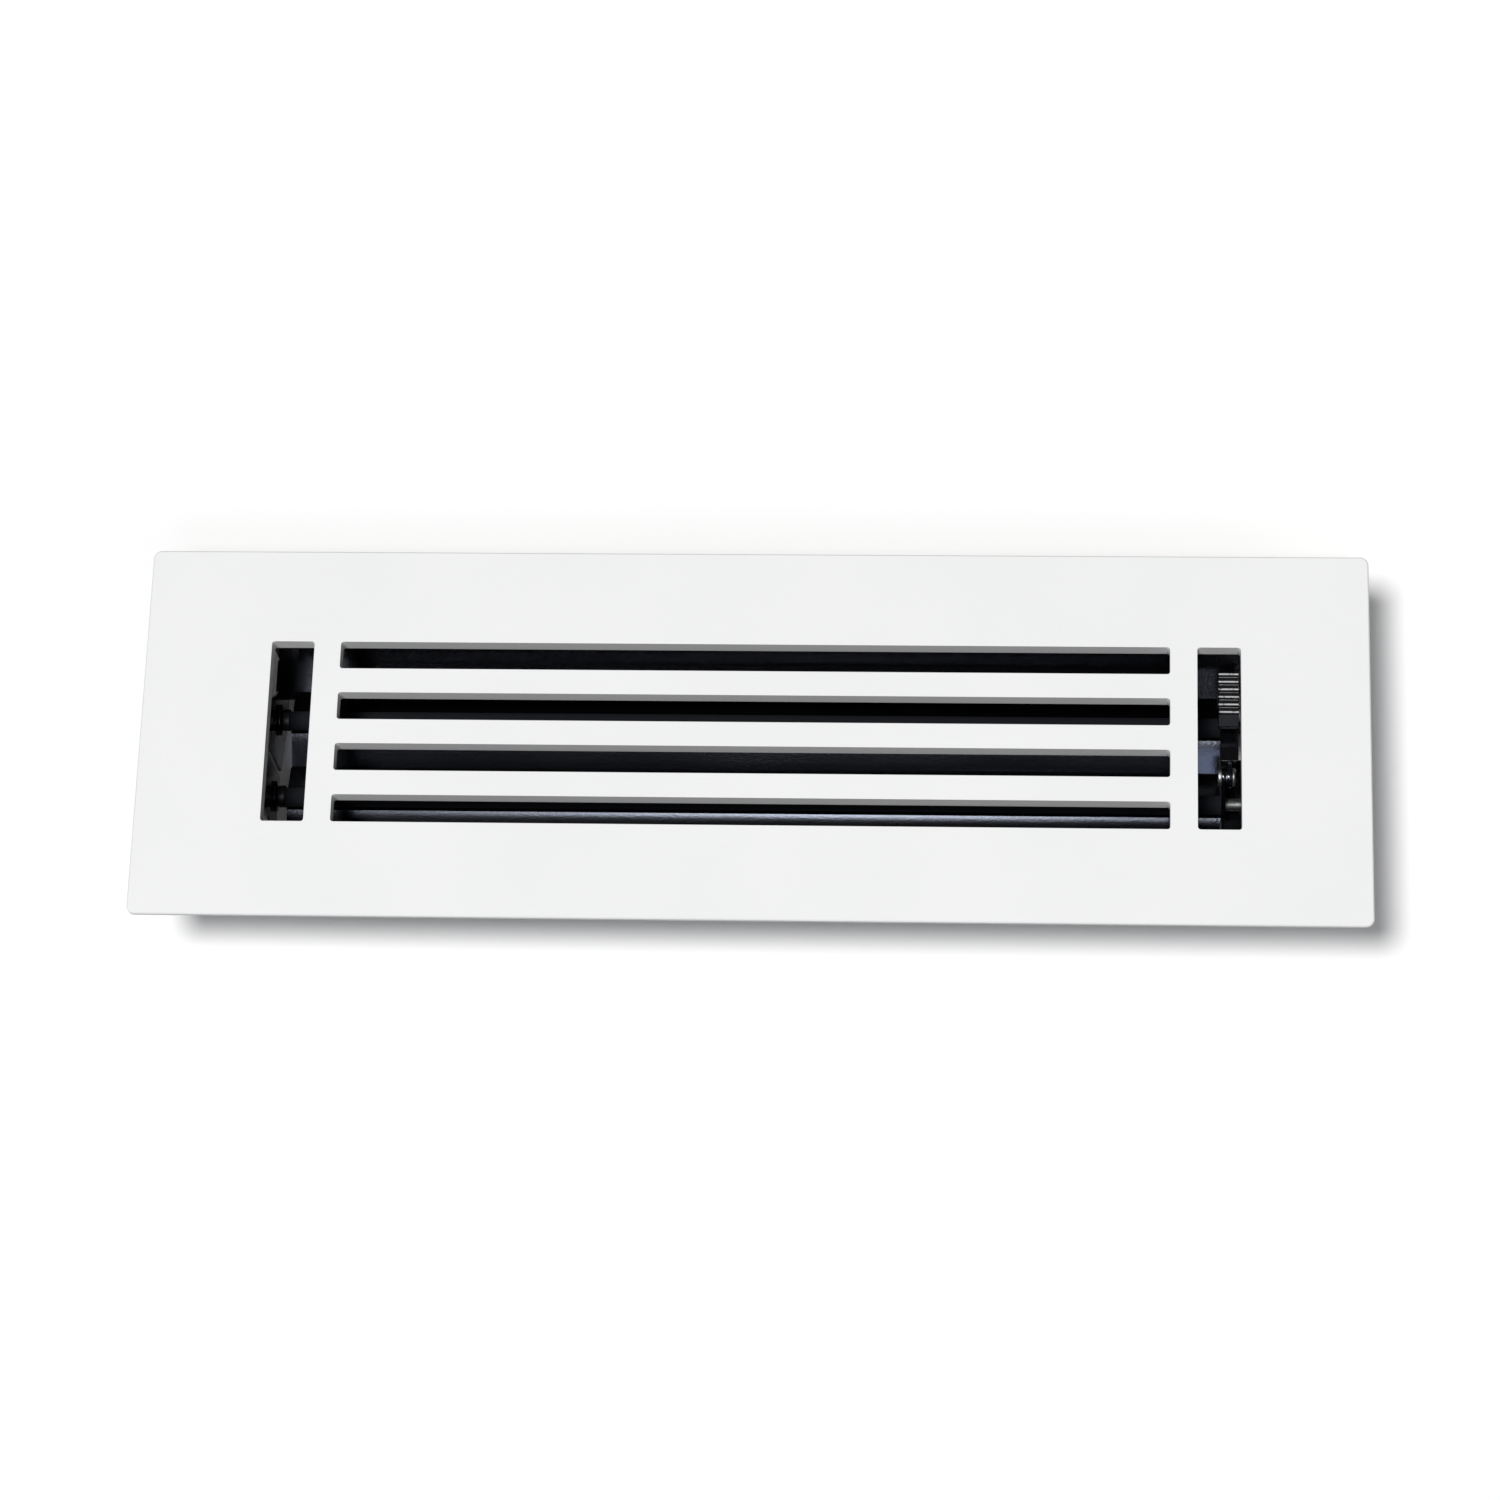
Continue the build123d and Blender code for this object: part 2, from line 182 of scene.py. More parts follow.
class Graph:
    """The nodes of one material or of the surround."""

    def __init__(self, tree: bpy.types.NodeTree) -> None:
        """Empties a node tree and keeps it."""
        self.tree = tree
        self.tree.nodes.clear()

    def node(self, kind: str, settings: dict[str, Any], inputs: dict[Any, Any]) -> bpy.types.Node:
        """Adds one node.

        Args:
            kind: the node's type name.
            settings: the node's own properties, set before its sockets.
            inputs: a value or a Signal for each named or numbered socket.

        Returns:
            The node.
        """
        made = self.tree.nodes.new(kind)
        for key, value in settings.items():
            setattr(made, key, value)
        for key, value in inputs.items():
            if isinstance(value, Signal):
                self.tree.links.new(value.socket, made.inputs[key])
            else:
                made.inputs[key].default_value = value
        return made

    def place(self) -> Signal:
        """The object coordinates of a point, in metres."""
        return Signal(self, self.node("ShaderNodeTexCoord", {}, {}).outputs["Object"])

    def stretched(self, stretch: Triple) -> Signal:
        """The object coordinates, stretched along each axis."""
        node = self.node("ShaderNodeMapping", {}, {"Vector": self.place(), "Scale": stretch})
        return Signal(self, node.outputs["Vector"])

    def part(self, vector: Signal, axis: Axis) -> Signal:
        """A vector's part along one axis."""
        node = self.node("ShaderNodeSeparateXYZ", {}, {0: vector})
        return Signal(self, node.outputs[axis.value])

    def facing_up(self) -> Signal:
        """How far a surface faces up: 1 for flat on top, -1 for flat underneath."""
        normal = self.node("ShaderNodeNewGeometry", {}, {}).outputs["Normal"]
        return self.part(Signal(self, normal), Axis.Z)

    def seen(self) -> Signal:
        """Tells what the camera sees from what only throws light.

        Returns:
            1 or more for what is seen, straight or in gloss or glass, and 0 for other light.
        """
        path = self.node("ShaderNodeLightPath", {}, {})
        rays = ("Is Camera Ray", "Is Glossy Ray", "Is Transmission Ray")
        direct, gloss, glass = (Signal(self, path.outputs[ray]) for ray in rays)
        return direct + gloss + glass

    def noise(self, size_mm: float, detail: Detail, stretch: Triple = EVEN) -> Signal:
        """Soft noise from 0 to 1.

        Args:
            size_mm: the width of one blotch, in millimetres.
            detail: how many finer octaves are added.
            stretch: how much faster it changes along each axis.

        Returns:
            The noise value.
        """
        node = self.node(
            "ShaderNodeTexNoise",
            {},
            {
                "Vector": self.stretched(stretch),
                "Scale": 1.0 / (size_mm * MM),
                "Detail": detail.value,
            },
        )
        return Signal(self, node.outputs["Fac"])

    def cells(self, size_mm: float) -> Signal:
        """Distance from the middle of the nearest grain, for a pebbled surface."""
        inputs = {"Vector": self.place(), "Scale": 1.0 / (size_mm * MM)}
        return Signal(self, self.node("ShaderNodeTexVoronoi", {}, inputs).outputs["Distance"])

    def blend(self, share: Signal, first: Colour | Signal, second: Colour | Signal) -> Signal:
        """Mixes two colours.

        Args:
            share: how much of the second colour there is, from 0 to 1.
            first: the colour at 0.
            second: the colour at 1.

        Returns:
            The mixed colour.
        """
        first = (*first, 1.0) if isinstance(first, tuple) else first
        second = (*second, 1.0) if isinstance(second, tuple) else second
        node = self.node("ShaderNodeMix", {"data_type": "RGBA"}, {0: share, 6: first, 7: second})
        return Signal(self, node.outputs[2])

    def bump(self, height: Signal, depth_mm: float) -> Signal:
        """A normal bent by a height from 0 to 1 that stands for a depth in millimetres."""
        node = self.node("ShaderNodeBump", {}, {"Height": height, "Distance": depth_mm * MM})
        return Signal(self, node.outputs["Normal"])

    def surface(self, inputs: dict[str, Any]) -> None:
        """Ends the material in one Principled shader with these socket values."""
        shader = self.node("ShaderNodeBsdfPrincipled", {}, inputs)
        self.end(Signal(self, shader.outputs["BSDF"]))

    def end(self, shader: Signal) -> None:
        """Links a shader to the material's output."""
        self.node("ShaderNodeOutputMaterial", {}, {"Surface": shader})


def new_material(name: str) -> tuple[bpy.types.Material, Graph]:
    """Makes an empty material.

    Args:
        name: the material's name.

    Returns:
        The material and its graph.
    """
    material = bpy.data.materials.new(name)
    material.use_nodes = True
    return material, Graph(material.node_tree)


@dataclass(frozen=True)
class WhitePaint:
    """Satin white powder coat with a fine orange peel."""

    bright: Colour = (0.845, 0.85, 0.85)
    dull: Colour = (0.825, 0.83, 0.833)
    ior: float = 1.48
    cloud_mm: float = 38.0
    peel_mm: float = 0.9
    grain_mm: float = 0.22
    grain_in_tone: float = 0.3
    grain_in_relief: float = 0.25
    relief_mm: float = 0.03
    roughness: float = 0.50
    grain_roughness: float = 0.16
    cloud_roughness: float = 0.06

    def material(self) -> bpy.types.Material:
        """Puts broad clouds in the tone, and a peel and a grain in the relief.

        Returns:
            The paint's material.
        """
        material, graph = new_material(Slot.WHITE_PAINT.value)
        cloud = graph.noise(self.cloud_mm, Detail.RICH)
        peel = graph.noise(self.peel_mm, Detail.FINE)
        grain = graph.noise(self.grain_mm, Detail.PLAIN)
        share = cloud.mixed(grain, self.grain_in_tone).ease(NOISE_SPAN)
        sheen = grain.swing(self.grain_roughness) + cloud.swing(self.cloud_roughness)
        relief = peel.mixed(grain, self.grain_in_relief)
        graph.surface(
            {
                "Base Color": graph.blend(share, self.dull, self.bright),
                "Roughness": self.roughness + sheen,
                "Normal": graph.bump(relief, self.relief_mm),
                "IOR": self.ior,
            }
        )
        return material


@dataclass(frozen=True)
class BlackCoat:
    """Black powder coat on sheet steel: a pebbled skin, a little pale dust that is also a painted bluish
    sheen, and dull beads.
    """

    dark: Colour = (0.0010, 0.0010, 0.0013)
    light: Colour = (0.0022, 0.0023, 0.0031)
    dust_and_sheen: Colour = (0.05, 0.053, 0.07)
    gloss_tint: Colour = (0.80, 0.85, 1.0)
    ior: float = 1.5
    pebble_mm: float = 0.5
    fine_mm: float = 0.25
    fine_in_relief: float = 0.3
    relief_mm: float = 0.012
    roughness: float = 0.15
    fine_roughness: float = 0.12
    dust_and_sheen_roughness: float = 0.8
    bead_roughness: float = 0.95
    speck_mm: float = 0.5
    speck_span: Span = (0.52, 0.72)
    cloud_mm: float = 14.0
    cloud_span: Span = (0.35, 0.7)
    level_span: Span = (0.55, 0.95)
    dust_and_sheen_share: float = 0.03
    bead_edge: float = BEAD_RADIUS + 0.1
    bead_fade: float = BEAD_RADIUS + 0.45

    def bead(self, graph: Graph) -> Signal:
        """Finds the blades' rolled beads by the distance from their pivot lines.

        Args:
            graph: the material's graph.

        Returns:
            1 on the beads and 0 away from them.
        """
        place = graph.place()
        across = abs(graph.part(place, Axis.Y)) - PIVOT_Y * MM
        above = graph.part(place, Axis.Z) - PIVOT_Z * MM
        square = across * across + above * above
        return 1.0 - square.ease(((self.bead_edge * MM) ** 2, (self.bead_fade * MM) ** 2))

    def dust_and_sheen_mask(self, graph: Graph) -> Signal:
        """Scatters pale dust where the sheet faces up; its bluish colour is also a painted sheen there.

        Args:
            graph: the material's graph.

        Returns:
            The share of dust and painted sheen, from 0 to the finish's share for them.
        """
        cloud = graph.noise(self.cloud_mm, Detail.RICH).ease(self.cloud_span)
        specks = graph.noise(self.speck_mm, Detail.RICH).ease(self.speck_span)
        return specks * cloud * graph.facing_up().ease(self.level_span) * self.dust_and_sheen_share

    def material(self) -> bpy.types.Material:
        """Puts pebbles in the relief, dust and a painted bluish sheen on level sheet and a dull skin on
        the beads.

        Returns:
            The coat's material.
        """
        material, graph = new_material(Slot.BLACK_COAT.value)
        pebble = graph.cells(self.pebble_mm)
        fine = graph.noise(self.fine_mm, Detail.FINE)
        coat = graph.blend(fine.ease(NOISE_SPAN), self.dark, self.light)
        dust_and_sheen = self.dust_and_sheen_mask(graph)
        skin = self.roughness + fine.swing(self.fine_roughness) + dust_and_sheen * self.dust_and_sheen_roughness
        relief = pebble.mixed(fine, self.fine_in_relief)
        graph.surface(
            {
                # Pale bluish dust on level sheet, which is partly a painted sheen there.
                "Base Color": graph.blend(dust_and_sheen, coat, self.dust_and_sheen),
                "Roughness": skin + (self.bead_roughness - skin) * self.bead(graph),
                "Normal": graph.bump(relief, self.relief_mm),
                "IOR": self.ior,
                "Specular Tint": (*self.gloss_tint, 1.0),
            }
        )
        return material


@dataclass(frozen=True)
class ZincSteel:
    """Dull zinc plate on steel, with faint spangle and turning marks."""

    bright: Colour = (0.44, 0.445, 0.45)
    dull: Colour = (0.22, 0.225, 0.22)
    spangle_mm: float = 2.2
    spangle_span: Span = (0.3, 0.75)
    mark_mm: float = 0.12
    mark_stretch: Triple = (0.15, 1.0, 1.0)
    relief_mm: float = 0.008
    roughness: float = 0.46
    spangle_roughness: float = 0.25
    mark_roughness: float = 0.12

    def material(self) -> bpy.types.Material:
        """Clouds the zinc and its roughness alike, with fine marks along X.

        Returns:
            The plate's material.
        """
        material, graph = new_material(Slot.ZINC_STEEL.value)
        spangle = graph.noise(self.spangle_mm, Detail.RICH)
        marks = graph.noise(self.mark_mm, Detail.FINE, self.mark_stretch)
        sheen = spangle.swing(self.spangle_roughness) + marks.swing(self.mark_roughness)
        graph.surface(
            {
                "Base Color": graph.blend(spangle.ease(self.spangle_span), self.dull, self.bright),
                "Roughness": self.roughness + sheen,
                "Normal": graph.bump(marks, self.relief_mm),
                "Metallic": 1.0,
            }
        )
        return material


@dataclass(frozen=True)
class WearAndHighlight:
    """Pale, polished wear on the tops of a moulding, in chafed patches, which is also a painted
    highlight along the tops.
    """

    tone: Colour
    start: float
    full: float
    chafe_mm: float = 0.7
    chafe_span: Span = (0.28, 0.52)
    polish: float = 0.12

    def share(self, graph: Graph) -> Signal:
        """Finds the worn places, which also carry a painted highlight, by height and chafing.

        Args:
            graph: the material's graph.

        Returns:
            1 where the skin is worn through and painted light, and 0 where it is whole.
        """
        height = graph.part(graph.place(), Axis.Z)
        chafe = graph.noise(self.chafe_mm, Detail.FINE)
        return height.ease((self.start * MM, self.full * MM)) * chafe.ease(self.chafe_span)


@dataclass(frozen=True)
class Moulding:
    """Moulded black plastic with a spark-eroded skin, which may be worn on its tops, with a painted
    highlight there.
    """

    slot: Slot
    base: Colour
    roughness: float
    wear_and_highlight: WearAndHighlight | None = None
    ior: float = 1.5
    skin_mm: float = 0.16
    skin_roughness: float = 0.2
    relief_mm: float = 0.02

    def material(self) -> bpy.types.Material:
        """Gives the plastic a fine skin, and its wear and painted highlight where it has any.

        Returns:
            The plastic's material.
        """
        material, graph = new_material(self.slot.value)
        skin = graph.noise(self.skin_mm, Detail.FINE)
        tone = (*self.base, 1.0)
        roughness = self.roughness + skin.swing(self.skin_roughness)
        if self.wear_and_highlight:
            # The pale tops are wear and, in part, a painted highlight.
            worn_and_lit = self.wear_and_highlight.share(graph)
            tone = graph.blend(worn_and_lit, self.base, self.wear_and_highlight.tone)
            roughness = roughness - worn_and_lit * self.wear_and_highlight.polish
        graph.surface(
            {
                "Base Color": tone,
                "Roughness": roughness,
                "Normal": graph.bump(skin, self.relief_mm),
                "IOR": self.ior,
            }
        )
        return material


@dataclass(frozen=True)
class Paper:
    """White paper, which throws less light up at the cover than the camera sees on it."""

    tone: Colour = (1.0, 1.0, 1.0)
    bounce: Colour = (0.26, 0.26, 0.26)
    mottle_mm: float = 60.0
    mottle_shade: float = 0.985

    def material(self) -> bpy.types.Material:
        """Mottles the paper very faintly.

        Returns:
            The paper's material.
        """
        material, graph = new_material("floor_paper")
        shaded = tuple(self.mottle_shade * part for part in self.tone)
        paper = graph.blend(graph.noise(self.mottle_mm, Detail.FINE), shaded, self.tone)
        tone = graph.blend(graph.seen(), self.bounce, paper)
        diffuse = graph.node("ShaderNodeBsdfDiffuse", {}, {"Color": tone})
        graph.end(Signal(graph, diffuse.outputs["BSDF"]))
        return material


class Finishes:
    """One material for each of the record's slots, made once."""

    def __init__(self) -> None:
        """Makes every finish."""
        nylon = Moulding(Slot.BLACK_NYLON, base=(0.006, 0.006, 0.007), roughness=0.45)
        # The pale rib crests are wear and, in part, a painted highlight.
        rib_wear_and_highlight = WearAndHighlight(tone=(0.46, 0.46, 0.48), start=4.66, full=4.88)
        grip = Moulding(Slot.BLACK_GRIP, base=(0.0035, 0.0035, 0.004), roughness=0.24, wear_and_highlight=rib_wear_and_highlight)
        self.by_slot: dict[Slot, bpy.types.Material] = {
            Slot.WHITE_PAINT: WhitePaint().material(),
            Slot.BLACK_COAT: BlackCoat().material(),
            Slot.ZINC_STEEL: ZincSteel().material(),
            Slot.BLACK_NYLON: nylon.material(),
            Slot.BLACK_GRIP: grip.material(),
        }

    def dress(self, piece: bpy.types.Object, slot: Slot) -> None:
        """Gives a piece one finish all over."""
        piece.data.materials.clear()
        piece.data.materials.append(self.by_slot[slot])


def add_mesh(
    name: str, points: np.ndarray, faces: list[np.ndarray], smooth_deg: float
) -> bpy.types.Object:
    """Puts arrays into a mesh object at the origin.

    Args:
        name: the piece's name.
        points: n by 3 places in metres.
        faces: arrays of corner numbers, each with 3 or 4 columns.
        smooth_deg: edges that turn less than this are shaded smooth.

    Returns:
        The new object.
    """
    mesh = bpy.data.meshes.new(name)
    corners = list(chain.from_iterable(block.tolist() for block in faces))
    mesh.from_pydata(points.reshape(-1, 3).tolist(), [], corners)
    mesh.update()
    mesh.shade_smooth()
    mesh.set_sharp_from_angle(angle=math.radians(smooth_deg))
    piece = bpy.data.objects.new(name, mesh)
    bpy.context.scene.collection.objects.link(piece)
    return piece


def strip_quads(rows: np.ndarray, others: np.ndarray) -> np.ndarray:
    """Quads between two equally long runs of corner numbers: a, next a, next b, b."""
    return np.stack([rows[:-1], rows[1:], others[1:], others[:-1]], axis=1)


def grid_quads(numbers: np.ndarray) -> np.ndarray:
    """Quads over a grid that is closed along its second axis.

    Args:
        numbers: the corner numbers, by row and place in the loop.

    Returns:
        The corner numbers of each quad, 4 to a row.
    """
    after = np.roll(numbers, -1, axis=1)
    quads = np.stack([numbers[:-1], numbers[1:], after[1:], after[:-1]], axis=-1)
    return quads.reshape(-1, 4)


def soft_union(first: np.ndarray, second: np.ndarray, width: float) -> np.ndarray:
    """Larger of two heights, with the corner between them rounded over a width.

    Formula: max(a, b) + h * h / (4 * width), where h = max(width - |a - b|, 0).

    Args:
        first: the heights a.
        second: the heights b.
        width: how far apart the heights still blend.

    Returns:
        The joined heights.
    """
    overlap = np.maximum(width - np.abs(first - second), 0.0)
    return np.maximum(first, second) + overlap**2 / (4.0 * width)


@dataclass(frozen=True)
class View:
    """The camera, with its place and the point that it looks at in metres."""

    place: Triple = (0.069386, -0.364789, 1.013281)
    aim: Triple = (-0.00035, -0.00212, 0.0)
    roll_deg: float = -9.7645
    lens_mm: float = 108.923
    sensor_mm: float = 36.0
    clip_start: float = 0.01

    def build(self) -> None:
        """Sets up the scene's camera."""
        data = bpy.data.cameras.new("camera")
        data.lens = self.lens_mm
        data.sensor_width = self.sensor_mm
        data.clip_start = self.clip_start
        camera = bpy.data.objects.new("camera", data)
        ahead = Vector(self.aim) - Vector(self.place)
        roll = Quaternion((0.0, 0.0, 1.0), math.radians(self.roll_deg))
        turn = ahead.to_track_quat("-Z", "Y") @ roll
        camera.matrix_world = Matrix.Translation(self.place) @ turn.to_matrix().to_4x4()
        bpy.context.scene.collection.objects.link(camera)
        bpy.context.scene.camera = camera


@dataclass(frozen=True)
class Lamp:
    """A soft distant lamp.

    Its direction is from the cover to the lamp, its power in watts a square metre, and its spread
    the width of its disc in the sky.
    """

    name: str
    towards: Triple
    power: float
    spread_deg: float
    tone: Colour

    def build(self) -> None:
        """Hangs the lamp."""
        data = bpy.data.lights.new(self.name, "SUN")
        data.energy = self.power
        data.angle = math.radians(self.spread_deg)
        data.color = self.tone
        lamp = bpy.data.objects.new(self.name, data)
        lamp.rotation_mode = "QUATERNION"
        lamp.rotation_quaternion = Vector(self.towards).to_track_quat("Z", "Y")
        bpy.context.scene.collection.objects.link(lamp)


@dataclass
class Stage:
    """Floor, sky, lamps and camera round the cover, in metres."""

    floor_height: float
    floor_reach: float = 12.0
    floor_smooth_deg: float = 30.0
    sky_tone: Colour = (1.0, 0.985, 0.95)
    sky_strength: float = 0.07
    lamps: tuple[Lamp, ...] = (
        Lamp("key", towards=(-0.225, -0.18, 1.0), power=2.60, spread_deg=14.5, tone=(1.0, 0.995, 0.985)),
        Lamp("strip", towards=(-0.05, -0.415, 1.0), power=0.36, spread_deg=6.5, tone=(0.93, 0.96, 1.0)),
        Lamp("window", towards=(0.07, -0.70, 1.0), power=0.18, spread_deg=12.0, tone=(0.66, 0.74, 1.0)),
        Lamp("fill", towards=(0.55, -0.75, 0.8), power=0.25, spread_deg=30.0, tone=(1.0, 0.95, 0.80)),
    )

    def build(self) -> None:
        """Builds the camera, floor, sky and lamps."""
        View().build()
        self.floor()
        self.sky()
        for lamp in self.lamps:
            lamp.build()
        bpy.context.scene.view_settings.view_transform = "Standard"

    def floor(self) -> None:
        """Lays a white paper floor under the neck, which keeps the cover's shadow.

        Formula: a flat grid of places (x, y, floor height), with x and y from -reach to reach.
        """
        ends = np.array([-self.floor_reach, self.floor_reach])
        x, y = np.meshgrid(ends, ends, indexing="ij")
        points = np.stack([x, y, np.full_like(x, self.floor_height)], axis=-1)
        rows = np.arange(x.size).reshape(x.shape)
        floor = add_mesh("floor", points, [strip_quads(rows[:, 0], rows[:, 1])], self.floor_smooth_deg)
        floor.data.materials.append(Paper().material())
        LOG.info("laid the floor at %.4f m", self.floor_height)

    def sky(self) -> None:
        """Makes an even, dim surround for the light from all sides."""
        world = bpy.data.worlds.new("studio")
        bpy.context.scene.world = world
        world.use_nodes = True
        graph = Graph(world.node_tree)
        light = {"Color": (*self.sky_tone, 1.0), "Strength": self.sky_strength}
        plain = graph.node("ShaderNodeBackground", {}, light)
        background = Signal(graph, plain.outputs["Background"])
        graph.node("ShaderNodeOutputWorld", {}, {"Surface": background})


@dataclass
class CadPiece:
    """A CAD solid that stays, with softened edges and a finish."""

    node: str
    slot: Slot
    edge_mm: float
    weld_mm: float = 0.001
    flat_deg: float = 0.5
    edge_deg: float = 35.0
    edge_segments: int = 2

    def dress(self, finishes: Finishes) -> None:
        """Joins the solid's triangles, rounds its sharp edges and gives it its finish.

        Args:
            finishes: the materials by slot.
        """
        piece = frame["nodes"][self.node]
        finishes.dress(piece, self.slot)
        weld = piece.modifiers.new("join", "WELD")
        weld.merge_threshold = self.weld_mm * MM
        flat = piece.modifiers.new("flat_faces", "DECIMATE")
        flat.decimate_type = "DISSOLVE"
        flat.angle_limit = math.radians(self.flat_deg)
        soft = piece.modifiers.new("soft_edges", "BEVEL")
        soft.width = self.edge_mm * MM
        soft.segments = self.edge_segments
        soft.limit_method = "ANGLE"
        soft.angle_limit = math.radians(self.edge_deg)
        LOG.info("dressed %s in %s", self.node, self.slot.value)


@dataclass
class DamperBlade:
    """An arched sheet blade with a rolled bead round its pivot rod.

    Its wings' roots and ends are given as slopes, and its ripple's waves in radians a millimetre.
    """

    side: Side
    sheet: float = 0.6
    bore: float = 1.55
    near_reach: float = 11.95
    far_reach: float = 9.05
    arch_radius: float = 70.0
    near_slope_deg: float = 18.0
    far_slope_deg: float = 14.0
    near_root: float = 0.344
    near_wing: float = 0.497
    root_run: float = 1.5
    bend_fillet: float = 0.5
    ripple: float = 0.05
    long_wave: float = 0.061
    short_wave: float = 0.143
    short_share: float = 0.6
    short_phase: float = 2.1
    stations: int = 81
    wing_places: int = 26
    bead_places: int = 33
    smooth_deg: float = 40.0

    @property
    def sign(self) -> float:
        """1 for the far blade and -1 for the near one."""
        return 1.0 if self.side is Side.FAR else -1.0

    def wing_drop(self, across: np.ndarray) -> np.ndarray:
        """Works out how far the sheet's middle is below the pivot.

        Formula: a wing is a circle's arc of the arch radius R that leaves the bead's foot, b below
        the pivot, at its slope s, so its drop is b + R cos(s) - sqrt(R^2 - (R sin(s) + |y|)^2). The
        near arc stops at the bead's edge, and from there the slope goes from the root's to the
        wing's as 1 - exp(-run / root run).

        Args:
            across: places across the blade, from the pivot line.

        Returns:
            The drop at each place.
        """
        slope = np.radians(np.where(across > 0.0, self.far_slope_deg, self.near_slope_deg))
        arched = np.abs(np.maximum(across, -BEAD_RADIUS))
        reach = self.arch_radius * np.sin(slope) + arched
        foot = BEAD_RADIUS - self.sheet / 2
        arch = foot + self.arch_radius * np.cos(slope) - np.sqrt(self.arch_radius**2 - reach**2)
        run = np.maximum(-across - BEAD_RADIUS, 0.0)
        settle = self.root_run * (1.0 - np.exp(-run / self.root_run))
        return arch + self.near_wing * run - (self.near_wing - self.near_root) * settle

    def section(self) -> tuple[np.ndarray, np.ndarray, np.ndarray]:
        """Works out the blade's section.

        Formula: the upper side is the soft union of the sheet's top with the bead's upper half
        circle, and the lower side the same turned over. Each tip is cut square.

        Returns:
            Places across, upper heights and lower heights, from the pivot line.
        """
        near = np.linspace(-self.near_reach, -BEAD_RADIUS, self.wing_places)
        far = np.linspace(BEAD_RADIUS, self.far_reach, self.wing_places)
        over = BEAD_RADIUS * np.sin(np.linspace(-math.pi / 2, math.pi / 2, self.bead_places))
        across = np.concatenate([near[:-1], over, far[1:]])
        middle = -self.wing_drop(across)
        lean = np.gradient(middle, across)
        half = self.sheet / 2 * np.sqrt(1.0 + lean**2)
        round_bead = np.sqrt(np.maximum(BEAD_RADIUS**2 - across**2, 0.0))
        # Outside the bead, a height far below the sheet leaves the sheet as it is.
        bead_only = np.where(np.abs(across) <= BEAD_RADIUS, round_bead, -self.arch_radius)
        upper = soft_union(half + middle, bead_only, self.bend_fillet)
        lower = -soft_union(half - middle, bead_only, self.bend_fillet)
        return across, upper, lower

    def ripples(self, along: np.ndarray, across: np.ndarray) -> np.ndarray:
        """Works out the sheet's slight waves.

        Formula: a long and a short sine along X, times the square of the share of the way from the
        bead to the near tip.

        Args:
            along: the stations along X.
            across: places across the blade.

        Returns:
            Heights by station and place.
        """
        way = (np.abs(across) - BEAD_RADIUS) / (self.near_reach - BEAD_RADIUS)
        long_sine = np.sin(along * self.long_wave + self.sign)
        short_sine = np.sin(along * self.short_wave + self.short_phase * self.sign)
        wave = long_sine + self.short_share * short_sine
        return self.ripple * wave[:, None] * np.clip(way, 0.0, 1.0)[None, :] ** 2

    def build(self, finishes: Finishes) -> None:
        """Carries the section from end to end of the CAD blade, bores it for the rod and caps it.

        Formula: a section point keeps its place across and its height at every station along X,
        plus the sheet's ripple. The bore is a circle that is carried along in the same way.

        Args:
            finishes: the materials by slot.
        """
        across, upper, lower = self.section()
        low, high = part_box(f"blade_{self.side.value}")
        along = np.linspace(low.x / MM, high.x / MM, self.stations)
        ripple = self.ripples(along, across)
        turn = np.linspace(-math.pi / 2, math.pi / 2, self.bead_places)
        bore_y = self.bore * np.sin(turn)
        bore_z = self.bore * np.cos(turn)
        skin_y = np.concatenate([across, across[::-1]])
        skin_z = np.concatenate([upper, lower[::-1]]) + np.hstack([ripple, ripple[:, ::-1]])
        hole_y = np.concatenate([bore_y, bore_y[::-1][1:-1]])
        hole_z = np.concatenate([bore_z, -bore_z[::-1][1:-1]])
        skin = self.carry(along, skin_y, skin_z)
        hole = self.carry(along, hole_y, np.tile(hole_z, (along.size, 1)))
        skin_numbers = np.arange(skin_z.size).reshape(skin_z.shape)
        hole_numbers = np.arange(along.size * hole_y.size).reshape(along.size, -1) + skin_z.size
        faces = [grid_quads(skin_numbers), grid_quads(hole_numbers)[:, ::-1]]
        faces += self.end_cap(skin_numbers[0], hole_numbers[0])
        faces += [block[:, ::-1] for block in self.end_cap(skin_numbers[-1], hole_numbers[-1])]
        points = np.concatenate([skin.reshape(-1, 3), hole.reshape(-1, 3)]) * MM
        piece = add_mesh(f"blade_sheet_{self.side.value}", points, faces, self.smooth_deg)
        finishes.dress(piece, Slot.BLACK_COAT)
        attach(piece, f"{self.side.value}_blade")
        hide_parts(f"blade_{self.side.value}")
        LOG.info("built %s with %d points", piece.name, len(points))

    def carry(self, along: np.ndarray, across: np.ndarray, heights: np.ndarray) -> np.ndarray:
        """Places a section's points at every station along the pivot line.

        Args:
            along: the stations along X.
            across: the points' places across the blade.
            heights: the points' heights by station, from the pivot line.

        Returns:
            Places by station and point.
        """
        x = np.repeat(along[:, None], across.size, axis=1)
        y = np.repeat(across[None, :], along.size, axis=0) + self.sign * PIVOT_Y
        return np.stack([x, y, heights + PIVOT_Z], axis=-1)

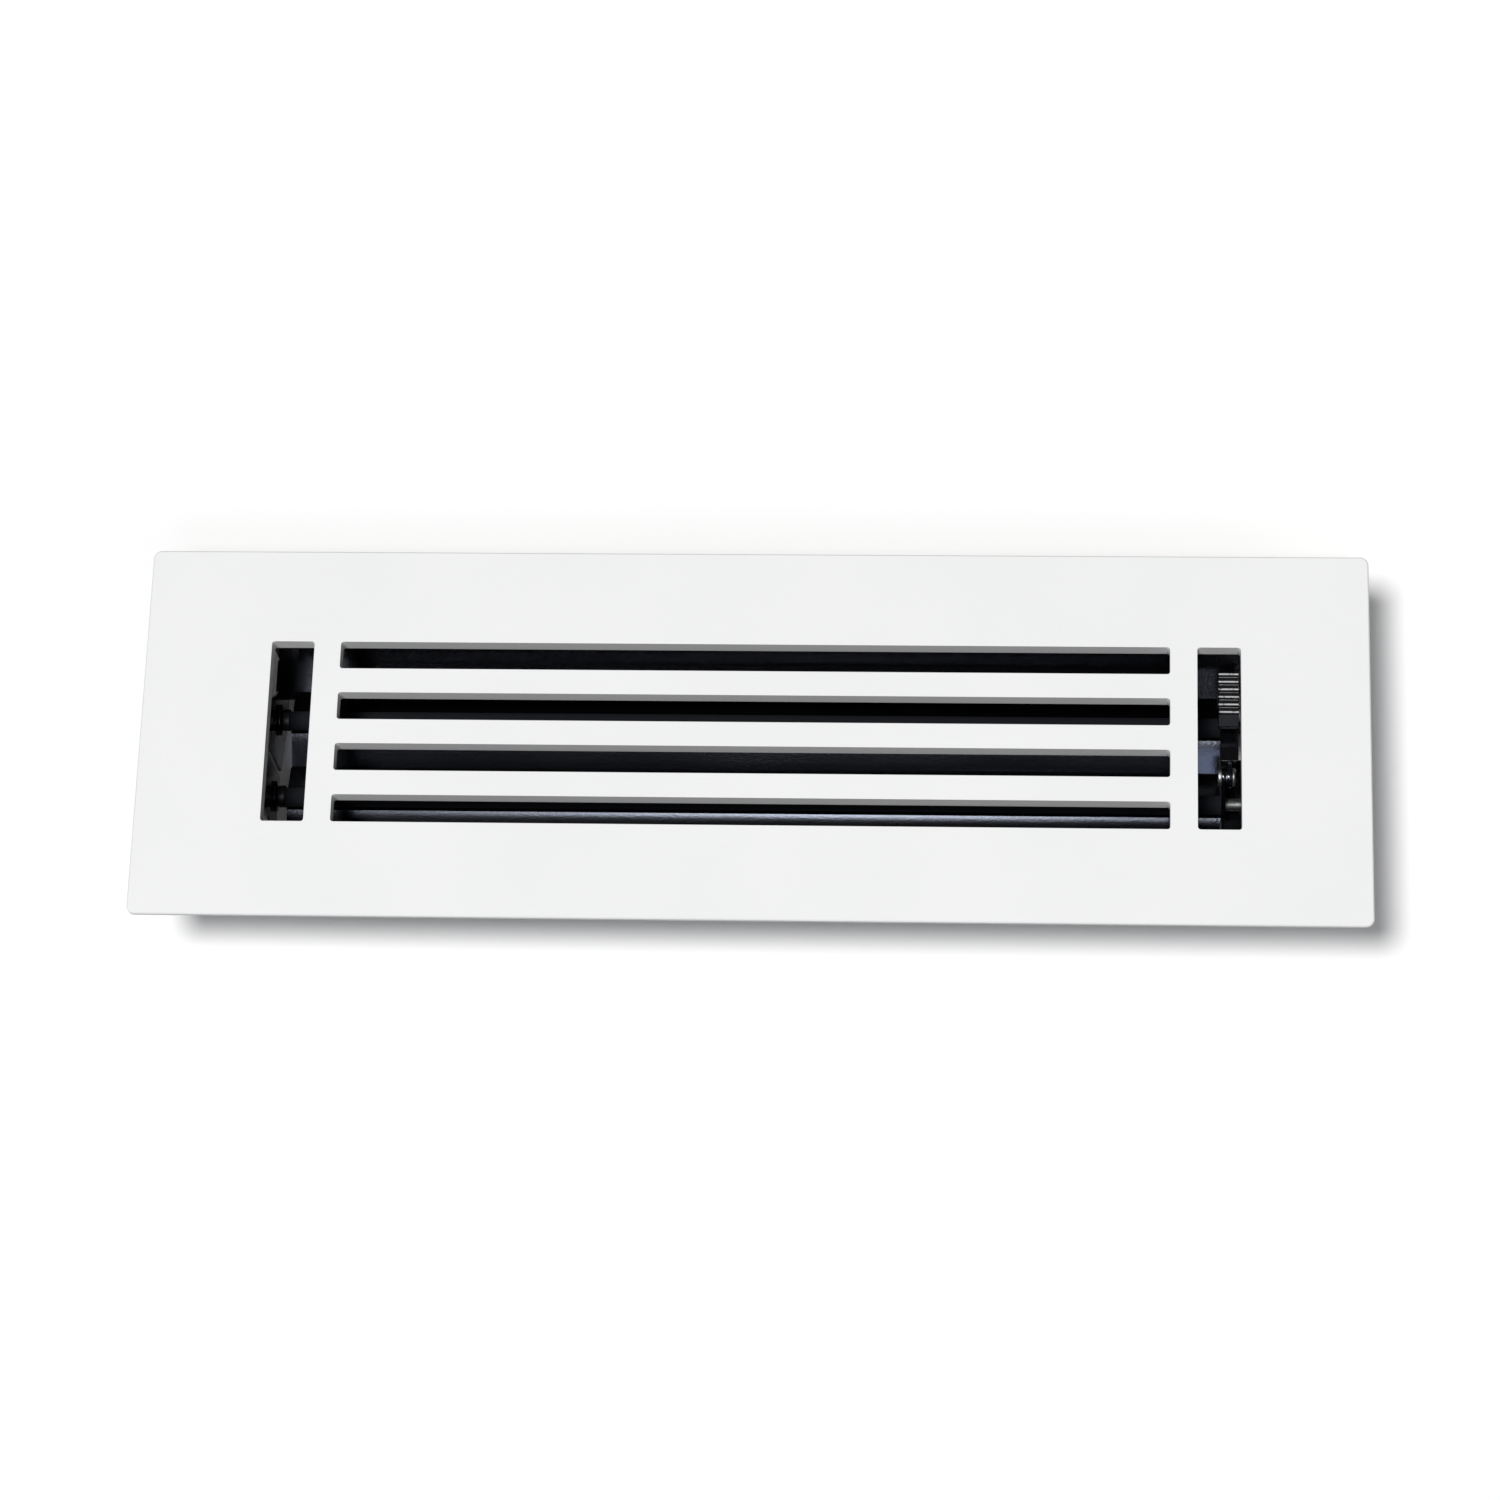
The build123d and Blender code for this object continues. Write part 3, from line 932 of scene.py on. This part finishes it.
    def end_cap(self, rim: np.ndarray, hole: np.ndarray) -> list[np.ndarray]:
        """Closes one end with a strip on each wing and a ring round the rod's hole.

        Args:
            rim: the section's corner numbers, along its top and back along its underside.
            hole: the bore's corner numbers, likewise.

        Returns:
            Arrays of faces.
        """
        top, back = np.split(rim, 2)
        under = back[::-1]
        span = self.bead_places
        hole_top = hole[:span]
        hole_under = np.concatenate([hole[:1], hole[span:][::-1], hole[span - 1 : span]])
        first = self.wing_places - 1
        last = first + span - 1
        return [
            strip_quads(top[: first + 1], under[: first + 1]),
            strip_quads(top[last:], under[last:]),
            strip_quads(top[first : last + 1], hole_top),
            strip_quads(hole_under, under[first : last + 1]),
            np.array([[top[first], hole_top[0], under[first]]]),
            np.array([[top[last], under[last], hole_top[-1]]]),
        ]


@dataclass
class VentCover:
    """The whole cover: its plate, damper frame, linkage and blades."""

    finishes: Finishes

    def build(self) -> None:
        """Dresses the CAD solids and builds the two blades."""
        for piece in self.cad_pieces():
            piece.dress(self.finishes)
        DamperBlade(Side.FAR).build(self.finishes)
        near = DamperBlade(Side.NEAR, near_root=0.352, near_wing=0.495, root_run=2.8)
        near.build(self.finishes)

    def cad_pieces(self) -> list[CadPiece]:
        """Lists the solids that stay.

        Returns:
            The pieces, with their finishes and edge roundings.
        """
        pieces = [
            CadPiece("face_plate", Slot.WHITE_PAINT, edge_mm=0.08),
            CadPiece("damper_frame", Slot.BLACK_COAT, edge_mm=0.12),
            CadPiece("frame_screws", Slot.ZINC_STEEL, edge_mm=0.12),
            CadPiece("tie_bar", Slot.BLACK_COAT, edge_mm=0.15),
            CadPiece("thumb_grip", Slot.BLACK_GRIP, edge_mm=0.2),
        ]
        for side in Side:
            pieces += [
                CadPiece(f"pivot_rod_{side.value}", Slot.ZINC_STEEL, edge_mm=0.2),
                CadPiece(f"crank_{side.value}", Slot.BLACK_COAT, edge_mm=0.15),
                CadPiece(f"crank_pin_{side.value}", Slot.ZINC_STEEL, edge_mm=0.12),
                CadPiece(f"spacer_{side.value}", Slot.BLACK_NYLON, edge_mm=0.15),
                CadPiece(f"friction_washer_{side.value}", Slot.BLACK_COAT, edge_mm=0.08),
                CadPiece(f"retainers_{side.value}", Slot.ZINC_STEEL, edge_mm=0.1),
            ]
        return pieces


def main() -> None:
    """Builds the stage and the cover."""
    logging.basicConfig(level=logging.INFO, format="%(name)s: %(message)s")
    Stage(floor_height=CAD_BOX[0].z).build()
    VentCover(Finishes()).build()


if __name__ == "__main__":
    main()
